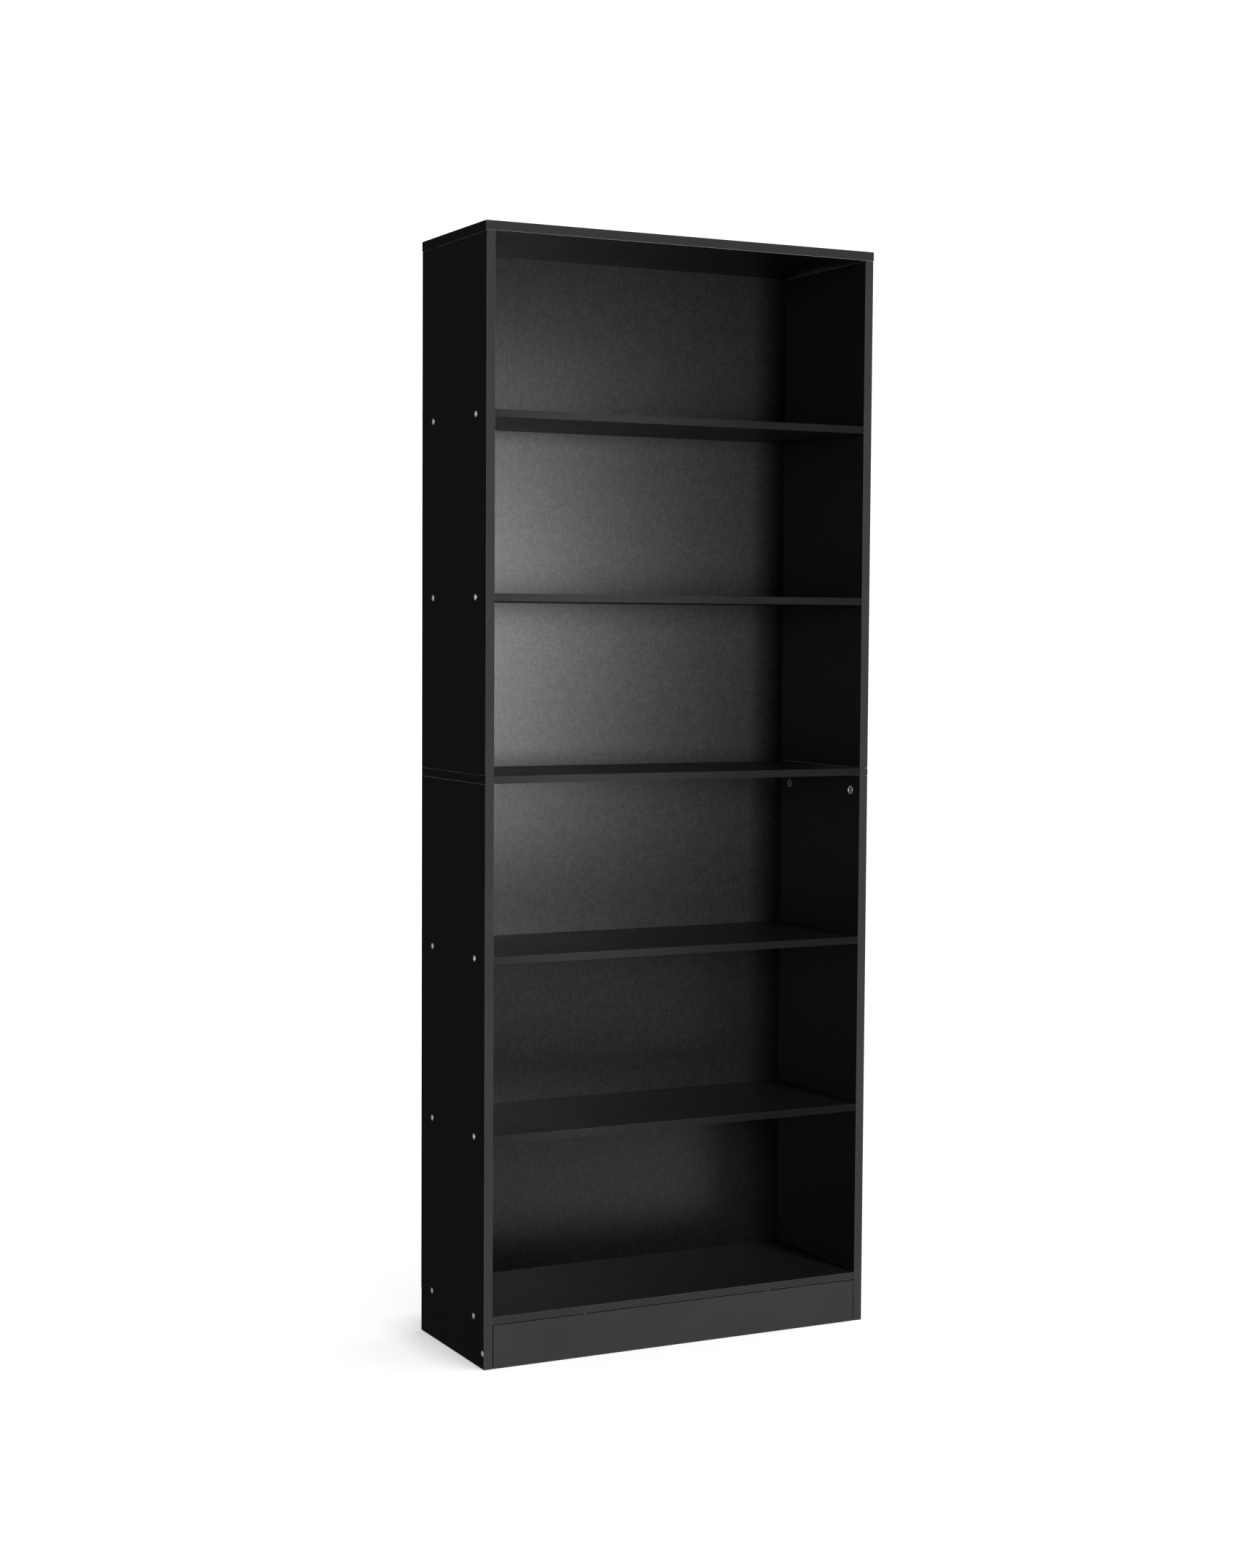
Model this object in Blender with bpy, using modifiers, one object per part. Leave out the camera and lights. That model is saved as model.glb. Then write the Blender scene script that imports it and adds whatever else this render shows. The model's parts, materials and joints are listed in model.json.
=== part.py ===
"""Six-bay knock-down bookcase of black melamine-faced board.

Metres, +Z up. The origin is on the floor under the middle of the case, and the open front faces -Y.
The case is two boxes stacked on a full-width middle panel: cam locks in the lower sides hold bolts that
hang from the upper sides, and every shelf is held by screws driven in through the sides.
"""

from math import hypot, pi, radians, tau

import bmesh
import bpy
from mathutils import Matrix, Vector

# Case
WIDTH = 0.700  # over the outer faces of the sides
DEPTH = 0.265  # from the front edges to the rear faces of the back panels
HEIGHT = 1.800
LOWER_HEIGHT = 0.929  # from the floor to the middle panel, which three bays share above and two below
BOTTOM_BAY = 0.277  # clear height of the lowest bay, which is its own
TOP_OVERHANG = 0.001  # the top panel past each side

# Boards
SIDE_THICKNESS = 0.015
TOP_THICKNESS = 0.015
MIDDLE_THICKNESS = 0.012
SHELF_THICKNESS = 0.012
BOTTOM_THICKNESS = 0.012
PLINTH_THICKNESS = 0.012
PLINTH_HEIGHT = 0.0695
PLINTH_REVEAL = 0.0015  # the dark line between the plinth and the boards round it
BACK_THICKNESS = 0.003
BACK_INSET = 0.001  # the back panels stop short of the outer faces
BACK_JOINT = 0.001  # between the two back panels, behind the middle panel
EDGE_ROUND = 0.0005  # the arris of the edge banding
BACK_EDGE_ROUND = 0.0003

# Fits
SEAM = 0.0003  # between two pieces that touch
OVERSHOOT = 0.002  # how far a cutter runs out past the face it enters

# Board screws: countersunk, with a hexagon socket; the shank is as thick as its thread
SCREW_LENGTH = 0.050
SCREW_HEAD_RADIUS = 0.00475
SCREW_HEAD_DEPTH = 0.003
SCREW_SHANK_RADIUS = 0.0031
SCREW_TIP = 0.004
SCREW_SINK = 0.0002  # the head's face below the board's face
SOCKET_RADIUS = 0.0023
SOCKET_DEPTH = 0.0022
FRONT_SCREW_INSET = 0.042  # from the front edge of the case
REAR_SCREW_INSET = 0.046  # from the rear edge of the sides
PLINTH_SCREW_HEIGHT = 0.025

# Cam locks and their bolts
CAM_RADIUS = 0.0072
CAM_BED = 0.0025  # board left behind the cam's bore
CAM_DROP = 0.026  # the cam's axis below the middle panel
FRONT_CAM_INSET = 0.0305
REAR_CAM_INSET = 0.0290
CAM_THROW = 0.0007  # the pocket's eccentricity, which draws the bolt in as the cam turns
CAM_CROSS_LENGTH = 0.0075
CAM_CROSS_WIDTH = 0.0014
CAM_CROSS_DEPTH = 0.0018
BOLT_HEAD_RADIUS = 0.0030
BOLT_HEAD_START = 0.0010  # the head's far face above the cam's axis
BOLT_SHOULDER = 0.0032  # the head's near face above the cam's axis
BOLT_NECK_RADIUS = 0.0020
BOLT_NECK_PAST_CAM = 0.0010
BOLT_SHANK_RADIUS = 0.0030
BOLT_GRIP = 0.011  # length of thread in the upper side

# Dowels
DOWEL_RADIUS = 0.0038
DOWEL_DEPTH = 0.015  # into each side
DOWEL_FROM_BOLT = 0.032
PLINTH_DOWEL_RADIUS = 0.0029
PLINTH_DOWEL_IN_PANEL = 0.007
PLINTH_DOWEL_IN_PLINTH = 0.014
PLINTH_DOWEL_SPREAD = 0.170  # either side of the middle

ROUND_SIDES = 12
CAM_SIDES = 24
SMOOTH_ANGLE = radians(35)
MERGE_DISTANCE = 0.00005

# Places that follow from the sizes above
FRONT = -DEPTH / 2
REAR = DEPTH / 2
BOARD_REAR = REAR - BACK_THICKNESS - SEAM
SIDE_OUTER = WIDTH / 2
SIDE_INNER = SIDE_OUTER - SIDE_THICKNESS
SIDE_CENTRE = SIDE_OUTER - SIDE_THICKNESS / 2
TOP_UNDERSIDE = HEIGHT - TOP_THICKNESS
BOTTOM_LOW = PLINTH_HEIGHT + PLINTH_REVEAL
BOTTOM_HIGH = BOTTOM_LOW + BOTTOM_THICKNESS
MIDDLE_LOW = LOWER_HEIGHT
MIDDLE_HIGH = MIDDLE_LOW + MIDDLE_THICKNESS
SHELF_4_LOW = BOTTOM_HIGH + BOTTOM_BAY
LOWER_BAY = (MIDDLE_LOW - SHELF_4_LOW - 2 * SHELF_THICKNESS) / 2
UPPER_BAY = (TOP_UNDERSIDE - MIDDLE_HIGH - 2 * SHELF_THICKNESS) / 3
LOWER_LEVELS = {
    "bottom_panel": (BOTTOM_LOW, BOTTOM_THICKNESS),
    "shelf_4": (SHELF_4_LOW, SHELF_THICKNESS),
    "shelf_3": (SHELF_4_LOW + SHELF_THICKNESS + LOWER_BAY, SHELF_THICKNESS),
}
UPPER_LEVELS = {
    "shelf_2": (MIDDLE_HIGH + UPPER_BAY, SHELF_THICKNESS),
    "shelf_1": (MIDDLE_HIGH + 2 * UPPER_BAY + SHELF_THICKNESS, SHELF_THICKNESS),
}
LEVELS = LOWER_LEVELS | UPPER_LEVELS
CAM_LEVEL = MIDDLE_LOW - CAM_DROP
CAM_HEIGHT = SIDE_THICKNESS - CAM_BED - SEAM
CAM_POCKET_RADIUS = hypot(BOLT_HEAD_RADIUS, BOLT_SHOULDER) + CAM_THROW + SEAM
SIDES = {"left": -1, "right": 1}
SCREW_ROWS = {"front": FRONT + FRONT_SCREW_INSET, "rear": BOARD_REAR - REAR_SCREW_INSET}
CAM_ROWS = {"front": FRONT + FRONT_CAM_INSET, "rear": BOARD_REAR - REAR_CAM_INSET}
DOWEL_ROWS = {"front": CAM_ROWS["front"] + DOWEL_FROM_BOLT, "rear": CAM_ROWS["rear"] - DOWEL_FROM_BOLT}

UP = Vector((0, 0, 1))


def clear_scene():
    for obj in list(bpy.data.objects):
        bpy.data.objects.remove(obj)


def make_collection(name):
    collection = bpy.data.collections.new(name)
    bpy.context.scene.collection.children.link(collection)
    return collection


def make_material(name, colour, roughness, metallic=0.0):
    material = bpy.data.materials.new(name)
    material.use_nodes = True
    shader = material.node_tree.nodes["Principled BSDF"]
    shader.inputs["Base Color"].default_value = (*colour, 1.0)
    shader.inputs["Roughness"].default_value = roughness
    shader.inputs["Metallic"].default_value = metallic
    return material


clear_scene()
PARTS = make_collection("bookcase")
CUTTERS = make_collection("cutters")
BLACK_BOARD = make_material("black_melamine", (0.012, 0.012, 0.013), 0.45)
BLACK_BACK = make_material("black_hardboard", (0.020, 0.020, 0.021), 0.35)
ZINC_STEEL = make_material("zinc_plated_steel", (0.66, 0.64, 0.58), 0.35, 1.0)
ZINC_ALLOY = make_material("zinc_alloy", (0.60, 0.60, 0.61), 0.40, 1.0)
BEECH = make_material("beech", (0.62, 0.43, 0.25), 0.60)


# Meshes


def mesh_from(bm, name):
    mesh = bpy.data.meshes.new(name)
    bm.to_mesh(mesh)
    bm.free()
    return mesh


def block_mesh(name, size):
    bm = bmesh.new()
    bmesh.ops.create_cube(bm, size=1.0)
    bmesh.ops.scale(bm, vec=size, verts=bm.verts)
    return mesh_from(bm, name)


def rod_mesh(name, radius, low, high, sides=ROUND_SIDES):
    """A closed cylinder on the Z axis between two heights, with flats on its X and Y axes."""
    bm = bmesh.new()
    bmesh.ops.create_cone(
        bm, cap_ends=True, segments=sides, radius1=radius, radius2=radius, depth=high - low
    )
    bmesh.ops.rotate(bm, cent=(0, 0, 0), matrix=Matrix.Rotation(pi / sides, 3, "Z"), verts=bm.verts)
    bmesh.ops.translate(bm, vec=(0, 0, (low + high) / 2), verts=bm.verts)
    return mesh_from(bm, name)


def profile_mesh(name, profile):
    """An open line of (radius, height) points at +X, from the top of the piece to its bottom."""
    bm = bmesh.new()
    points = [bm.verts.new((radius, 0, height)) for radius, height in profile]
    for upper, lower in zip(points, points[1:]):
        bm.edges.new((upper, lower))
    return mesh_from(bm, name)


def add_turning(obj):
    screw = obj.modifiers.new("Turning", "SCREW")
    screw.axis = "Z"
    screw.angle = tau
    screw.steps = ROUND_SIDES
    screw.render_steps = ROUND_SIDES
    screw.use_merge_vertices = True
    screw.merge_threshold = MERGE_DISTANCE


def add_cutter(name, mesh, place):
    cutter = bpy.data.objects.new(name, mesh)
    CUTTERS.objects.link(cutter)
    cutter.matrix_world = place
    cutter.hide_render = True
    cutter.display_type = "WIRE"
    return cutter


def cut(obj, cutter, solver="EXACT"):
    boolean = obj.modifiers.new(cutter.name, "BOOLEAN")
    boolean.operation = "DIFFERENCE"
    boolean.solver = solver
    boolean.object = cutter


def finished_mesh(obj, name):
    """The object's mesh with its modifiers in it, shaded smooth. The object is removed."""
    bpy.context.view_layer.update()
    graph = bpy.context.evaluated_depsgraph_get()
    mesh = bpy.data.meshes.new_from_object(obj.evaluated_get(graph))
    mesh.name = name
    bpy.data.objects.remove(obj)
    mesh.shade_smooth()
    mesh.set_sharp_from_angle(angle=SMOOTH_ANGLE)
    return mesh


def bench_object(name, mesh):
    """A plain object at the origin, for a shape that several pieces will share."""
    obj = bpy.data.objects.new(name, mesh)
    PARTS.objects.link(obj)
    return obj


def turned_mesh(name, profile):
    obj = bench_object(name, profile_mesh(name, profile))
    add_turning(obj)
    return finished_mesh(obj, name)


# Pieces


def add_piece(name, mesh, material, place):
    if not mesh.materials:
        mesh.materials.append(material)
    piece = bpy.data.objects.new(name, mesh)
    PARTS.objects.link(piece)
    piece.matrix_world = place
    return piece


def add_board(name, low, high, material=BLACK_BOARD, edge=EDGE_ROUND):
    low, high = Vector(low), Vector(high)
    board = add_piece(
        name, block_mesh(name, high - low), material, Matrix.Translation((low + high) / 2)
    )
    bevel = board.modifiers.new("Edges", "BEVEL")
    bevel.width = edge
    bevel.segments = 1
    return board


def drill(board, label, bit, place):
    """Bores that cross inside a board come out open from the EXACT solver."""
    cut(board, add_cutter(f"{board.name}_{label}", bit, place), solver="MANIFOLD")


def facing(direction, position):
    """A placement whose local +Z points along direction."""
    turn = UP.rotation_difference(Vector(direction)).to_matrix().to_4x4()
    return Matrix.Translation(position) @ turn


def make_screw_mesh():
    """Local origin on the face of the board, with the screw pointing down."""
    neck = -SCREW_SINK - SCREW_HEAD_DEPTH
    end = -SCREW_SINK - SCREW_LENGTH
    profile = [
        (0, -SCREW_SINK),
        (SCREW_HEAD_RADIUS, -SCREW_SINK),
        (SCREW_SHANK_RADIUS, neck),
        (SCREW_SHANK_RADIUS, end + SCREW_TIP),
        (SCREW_SHANK_RADIUS / 3, end),
        (0, end),
    ]
    screw = bench_object("screw", profile_mesh("screw", profile))
    add_turning(screw)
    floor = -SCREW_SINK - SOCKET_DEPTH
    socket = rod_mesh("screw_socket", SOCKET_RADIUS, floor, OVERSHOOT, sides=6)
    cut(screw, add_cutter("screw_socket", socket, Matrix()))
    return finished_mesh(screw, "screw")


def make_screw_hole_mesh():
    """The hole that clears the screw, with its countersink."""
    end = -SCREW_SINK - SCREW_LENGTH - SEAM
    return turned_mesh(
        "screw_hole",
        [
            (0, OVERSHOOT),
            (SCREW_HEAD_RADIUS + SEAM, OVERSHOOT),
            (SCREW_HEAD_RADIUS + SEAM, -SCREW_SINK),
            (SCREW_SHANK_RADIUS + SEAM, -SCREW_SINK - SCREW_HEAD_DEPTH),
            (SCREW_SHANK_RADIUS + SEAM, end),
            (0, end),
        ],
    )


def make_bolt_mesh():
    """Local origin on the cam's axis, with the bolt standing up from its head."""
    neck_end = CAM_RADIUS + BOLT_NECK_PAST_CAM
    top = CAM_DROP + MIDDLE_THICKNESS + BOLT_GRIP
    return turned_mesh(
        "cam_bolt",
        [
            (0, top),
            (BOLT_SHANK_RADIUS, top),
            (BOLT_SHANK_RADIUS, neck_end),
            (BOLT_NECK_RADIUS, neck_end),
            (BOLT_NECK_RADIUS, BOLT_SHOULDER),
            (BOLT_HEAD_RADIUS, BOLT_SHOULDER),
            (BOLT_HEAD_RADIUS, BOLT_HEAD_START),
            (0, BOLT_HEAD_START),
        ],
    )


def make_cam_mesh():
    """Local +Z points out of the board and +Y at the bolt. The face is at the origin.

    The pocket takes the bolt's head, the slot on +X lets its neck pass as the cam turns, and the mouth
    at -Y lets the head out once the cam has made half a turn.
    """
    cam = bench_object("cam", rod_mesh("cam", CAM_RADIUS, -CAM_HEIGHT, 0.0, sides=CAM_SIDES))
    bolt_depth = -SIDE_THICKNESS / 2
    past_rim = CAM_RADIUS + OVERSHOOT
    pocket_half = BOLT_HEAD_RADIUS + 1.5 * SEAM
    mouth_half = BOLT_HEAD_RADIUS + SEAM
    slot_half = BOLT_NECK_RADIUS + SEAM
    cutters = {
        "cam_pocket": (
            rod_mesh("cam_pocket", CAM_POCKET_RADIUS, -pocket_half, pocket_half, sides=CAM_SIDES),
            (0, -CAM_THROW, bolt_depth),
        ),
        "cam_slot": (
            block_mesh("cam_slot", (slot_half + past_rim, 2 * past_rim, 2 * slot_half)),
            ((past_rim - slot_half) / 2, 0, bolt_depth),
        ),
        "cam_mouth": (
            block_mesh("cam_mouth", (2 * mouth_half, past_rim, 2 * mouth_half)),
            (0, -past_rim / 2, bolt_depth),
        ),
        "cam_cross_long": (
            block_mesh("cam_cross_long", (CAM_CROSS_WIDTH, CAM_CROSS_LENGTH, 2 * CAM_CROSS_DEPTH)),
            (0, 0, 0),
        ),
        "cam_cross_short": (
            block_mesh("cam_cross_short", (CAM_CROSS_LENGTH, CAM_CROSS_WIDTH, 2.1 * CAM_CROSS_DEPTH)),
            (0, 0, 0),
        ),
    }
    for name, (mesh, centre) in cutters.items():
        cut(cam, add_cutter(name, mesh, Matrix.Translation(centre)))
    return finished_mesh(cam, "cam")


# Boards


def build_sides():
    sides = {}
    for name, way in SIDES.items():
        outer, inner = sorted((way * SIDE_OUTER, way * SIDE_INNER))
        sides["lower", name] = add_board(
            f"lower_side_{name}", (outer, FRONT, 0), (inner, BOARD_REAR, MIDDLE_LOW - SEAM)
        )
        sides["upper", name] = add_board(
            f"upper_side_{name}",
            (outer, FRONT, MIDDLE_HIGH + SEAM),
            (inner, BOARD_REAR, TOP_UNDERSIDE - SEAM),
        )
    return sides


def build_level(name, low, thickness):
    """A board between the two sides."""
    reach = SIDE_INNER - SEAM
    return add_board(name, (-reach, FRONT, low), (reach, BOARD_REAR, low + thickness))


def build_plinth():
    reach = SIDE_INNER - PLINTH_REVEAL
    return add_board("plinth", (-reach, FRONT, 0), (reach, FRONT + PLINTH_THICKNESS, PLINTH_HEIGHT))


def build_top():
    reach = SIDE_OUTER + TOP_OVERHANG
    return add_board("top_panel", (-reach, FRONT, TOP_UNDERSIDE), (reach, BOARD_REAR, HEIGHT))


def build_middle():
    return add_board(
        "middle_panel", (-SIDE_OUTER, FRONT, MIDDLE_LOW), (SIDE_OUTER, BOARD_REAR, MIDDLE_HIGH)
    )


def build_back():
    reach = SIDE_OUTER - BACK_INSET
    joint = (MIDDLE_LOW + MIDDLE_HIGH) / 2
    spans = {
        "back_panel_lower": (BOTTOM_LOW, joint - BACK_JOINT / 2),
        "back_panel_upper": (joint + BACK_JOINT / 2, HEIGHT - BACK_INSET),
    }
    for name, (low, high) in spans.items():
        add_board(
            name,
            (-reach, REAR - BACK_THICKNESS, low),
            (reach, REAR, high),
            material=BLACK_BACK,
            edge=BACK_EDGE_ROUND,
        )


# Fasteners


def fasten(label, screw, hole, boards, direction, position):
    """A screw driven in through the first board into the second."""
    place = facing(direction, position)
    add_piece(f"screw_{label}", screw, ZINC_STEEL, place)
    for board in boards:
        drill(board, label, hole, place)


def fit_screws(sides, levels, top, plinth):
    """Two screws in each end of each level, two down into each upper side, and one in each plinth end."""
    screw = make_screw_mesh()
    hole = make_screw_hole_mesh()
    heights = {name: low + thickness / 2 for name, (low, thickness) in LEVELS.items()}
    for name, way in SIDES.items():
        lower, upper = sides["lower", name], sides["upper", name]
        for row, y in SCREW_ROWS.items():
            for level, z in heights.items():
                boards = (upper if level in UPPER_LEVELS else lower, levels[level])
                position = (way * SIDE_OUTER, y, z)
                fasten(f"{level}_{row}_{name}", screw, hole, boards, (way, 0, 0), position)
            position = (way * SIDE_CENTRE, y, HEIGHT)
            fasten(f"top_{row}_{name}", screw, hole, (top, upper), UP, position)
        position = (way * SIDE_OUTER, FRONT + PLINTH_THICKNESS / 2, PLINTH_SCREW_HEIGHT)
        fasten(f"plinth_{name}", screw, hole, (lower, plinth), (way, 0, 0), position)


def cam_place(way, y):
    """Local +Z into the bay and local +Y up, on the lower side's inner face."""
    into_bay = Vector((-way, 0, 0))
    turn = Matrix((UP.cross(into_bay), UP, into_bay)).transposed().to_4x4()
    return Matrix.Translation((way * SIDE_INNER, y, CAM_LEVEL)) @ turn


def fit_cams(sides, middle):
    """Bolts fixed up into the upper sides pass through the middle panel into cams in the lower sides."""
    cam = make_cam_mesh()
    bolt = make_bolt_mesh()
    cam_bore = rod_mesh("cam_bore", CAM_RADIUS + SEAM, -CAM_HEIGHT - SEAM, OVERSHOOT, sides=CAM_SIDES)
    bolt_top = CAM_DROP + MIDDLE_THICKNESS + BOLT_GRIP + SEAM
    bolt_hole = rod_mesh("bolt_hole", BOLT_SHANK_RADIUS + SEAM, 0.0, bolt_top)
    for name, way in SIDES.items():
        for row, y in CAM_ROWS.items():
            place = cam_place(way, y)
            upright = Matrix.Translation((way * SIDE_CENTRE, y, CAM_LEVEL))
            add_piece(f"cam_{row}_{name}", cam, ZINC_ALLOY, place)
            add_piece(f"cam_bolt_{row}_{name}", bolt, ZINC_STEEL, upright)
            for board in (sides["lower", name], middle, sides["upper", name]):
                drill(board, f"bolt_hole_{row}_{name}", bolt_hole, upright)
            drill(sides["lower", name], f"cam_bore_{row}", cam_bore, place)


def fit_middle_dowels(sides, middle):
    low = -DOWEL_DEPTH
    high = MIDDLE_THICKNESS + DOWEL_DEPTH
    dowel = rod_mesh("dowel", DOWEL_RADIUS, low, high)
    hole = rod_mesh("dowel_hole", DOWEL_RADIUS + SEAM, low - SEAM, high + SEAM)
    dowel.shade_smooth()
    dowel.set_sharp_from_angle(angle=SMOOTH_ANGLE)
    for name, way in SIDES.items():
        for row, y in DOWEL_ROWS.items():
            place = Matrix.Translation((way * SIDE_CENTRE, y, MIDDLE_LOW))
            add_piece(f"dowel_middle_{row}_{name}", dowel, BEECH, place)
            for board in (sides["lower", name], middle, sides["upper", name]):
                drill(board, f"dowel_hole_{row}_{name}", hole, place)


def fit_plinth_dowels(bottom, plinth):
    low = -PLINTH_DOWEL_IN_PLINTH
    high = PLINTH_REVEAL + PLINTH_DOWEL_IN_PANEL
    dowel = rod_mesh("plinth_dowel", PLINTH_DOWEL_RADIUS, low, high)
    hole = rod_mesh("plinth_dowel_hole", PLINTH_DOWEL_RADIUS + SEAM, low - SEAM, high + SEAM)
    dowel.shade_smooth()
    dowel.set_sharp_from_angle(angle=SMOOTH_ANGLE)
    for name, way in SIDES.items():
        place = Matrix.Translation(
            (way * PLINTH_DOWEL_SPREAD, FRONT + PLINTH_THICKNESS / 2, PLINTH_HEIGHT)
        )
        add_piece(f"dowel_plinth_{name}", dowel, BEECH, place)
        for board in (bottom, plinth):
            drill(board, f"dowel_hole_{name}", hole, place)


def build_bookcase():
    sides = build_sides()
    levels = {name: build_level(name, *span) for name, span in LEVELS.items()}
    middle = build_middle()
    top = build_top()
    plinth = build_plinth()
    build_back()
    fit_screws(sides, levels, top, plinth)
    fit_cams(sides, middle)
    fit_middle_dowels(sides, middle)
    fit_plinth_dowels(levels["bottom_panel"], plinth)


build_bookcase()
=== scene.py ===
import json
from math import cos, pi, radians, sin, tau

import bmesh
import bpy
from mathutils import Matrix, Vector

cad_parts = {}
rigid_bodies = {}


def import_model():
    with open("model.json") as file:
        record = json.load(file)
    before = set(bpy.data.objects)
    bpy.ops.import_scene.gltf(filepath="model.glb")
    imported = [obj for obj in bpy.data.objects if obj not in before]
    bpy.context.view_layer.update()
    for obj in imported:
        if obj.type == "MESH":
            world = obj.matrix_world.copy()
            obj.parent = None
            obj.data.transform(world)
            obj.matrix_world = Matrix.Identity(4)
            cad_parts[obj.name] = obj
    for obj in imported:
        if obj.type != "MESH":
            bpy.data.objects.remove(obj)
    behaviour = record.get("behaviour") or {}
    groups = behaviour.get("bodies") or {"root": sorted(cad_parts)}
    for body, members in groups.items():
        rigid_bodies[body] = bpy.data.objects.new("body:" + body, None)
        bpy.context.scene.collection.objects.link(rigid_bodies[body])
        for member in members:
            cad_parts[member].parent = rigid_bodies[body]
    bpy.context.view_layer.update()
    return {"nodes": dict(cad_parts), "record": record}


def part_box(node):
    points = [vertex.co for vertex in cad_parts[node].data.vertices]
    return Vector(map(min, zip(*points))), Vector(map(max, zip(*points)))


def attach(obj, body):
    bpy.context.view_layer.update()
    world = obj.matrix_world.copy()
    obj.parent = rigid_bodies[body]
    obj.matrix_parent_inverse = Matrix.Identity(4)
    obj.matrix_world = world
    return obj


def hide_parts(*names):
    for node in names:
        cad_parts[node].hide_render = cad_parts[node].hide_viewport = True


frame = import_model()
BODIES = frame["record"]["behaviour"]["bodies"]
BODY_OF = {node: body for body, nodes in BODIES.items() for node in nodes}

# Boards
BAND = 0.0008  # thickness of the edge banding
BAND_GAP = 0.00003  # glue line between the banding and the board
BAND_ROUND = 0.0005  # outer arris of the banding
SEAM_ROUND = 0.00012  # arris of the banding along the glue line
BOARD_ROUND = 0.0003
RAW_ROUND = 0.0008  # arris sawn at the joints of the middle panel
BACK_ROUND = 0.0003
ROUND_SEGMENTS = 3

# Fasteners, as in the CAD
SEAM = 0.0003
OVERSHOOT = 0.002
SCREW_LENGTH = 0.050
SCREW_HEAD_RADIUS = 0.00475
SCREW_HEAD_DEPTH = 0.003
SCREW_HEAD_EDGE = 0.0004
SCREW_SHANK_RADIUS = 0.0031
SCREW_NECK = 0.006
SCREW_TIP = 0.004
SCREW_SINK = 0.0002
SCREW_PITCH = 0.003
SCREW_THREAD = 0.0009
SOCKET_FLAT = 0.0020
SOCKET_DEPTH = 0.0022
SOCKET_TURNS = 4  # ways that a screw's socket may have come to rest
CAM_RADIUS = 0.0072
CAM_HEIGHT = 0.0122
CAM_RIM = 0.0010
CAM_FACE = 0.0004  # the cam's face below its rim
CAM_THROW = 0.0007
CAM_POCKET_RADIUS = 0.005387
CAM_CROSS_LENGTH = 0.0075
CAM_CROSS_WIDTH = 0.0014
CAM_CROSS_DEPTH = 0.0018
CAM_CROSS_TURN = radians(35)
BOLT_HEAD_RADIUS = 0.0030
BOLT_HEAD_START = 0.0010
BOLT_SHOULDER = 0.0032
BOLT_NECK_RADIUS = 0.0020
BOLT_NECK_END = 0.0082
BOLT_SHANK_RADIUS = 0.0030
BOLT_TOP = 0.0490
BOLT_PITCH = 0.0018
BOLT_THREAD = 0.0006
BOLT_GRIP = 0.011
DOWEL_RADIUS = 0.0038
PLINTH_DOWEL_RADIUS = 0.0029
DOWEL_FLUTES = 18
DOWEL_FLUTE = 0.06  # of the radius
DOWEL_CHAMFER = 0.0010
NAIL_HEAD_RADIUS = 0.0021
NAIL_SHANK_RADIUS = 0.0007
NAIL_LENGTH = 0.019
NAIL_SPACING = 0.130
NAIL_MARGIN = 0.0035  # a nail's distance from the panel's edge
DIMPLE_RADIUS = 0.0022  # the mark that a nail's head presses into the hardboard
DIMPLE_DEPTH = 0.0007
STEPS = 36
THREAD_STEPS = 24
THREAD_RINGS = 7  # to each turn
NAIL_STEPS = 16
SHARP = radians(38)  # faces that meet more sharply than this don't shade into each other
FLAT = 0.999  # least part of a normal along one axis, on a face that lies square

UP = Vector((0, 0, 1))
SLOTS = 6
MELAMINE, BANDING, END_BANDING, RAW, CHIPPED_WITH_PAINTED_HIGHLIGHT, SCRAPED_WITH_PAINTED_HIGHLIGHT = range(SLOTS)
PANEL_FRONT, PANEL_REAR = range(2)

GROUP_NAMES = ("frame", "shelves", "backs", "fasteners", "cams", "floor")
GROUPS = {name: bpy.data.collections.new(name) for name in GROUP_NAMES}
BOARD_GROUPS = ("frame", "shelves", "backs")
METAL_GROUPS = ("fasteners", "cams")


# Finishes


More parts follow.
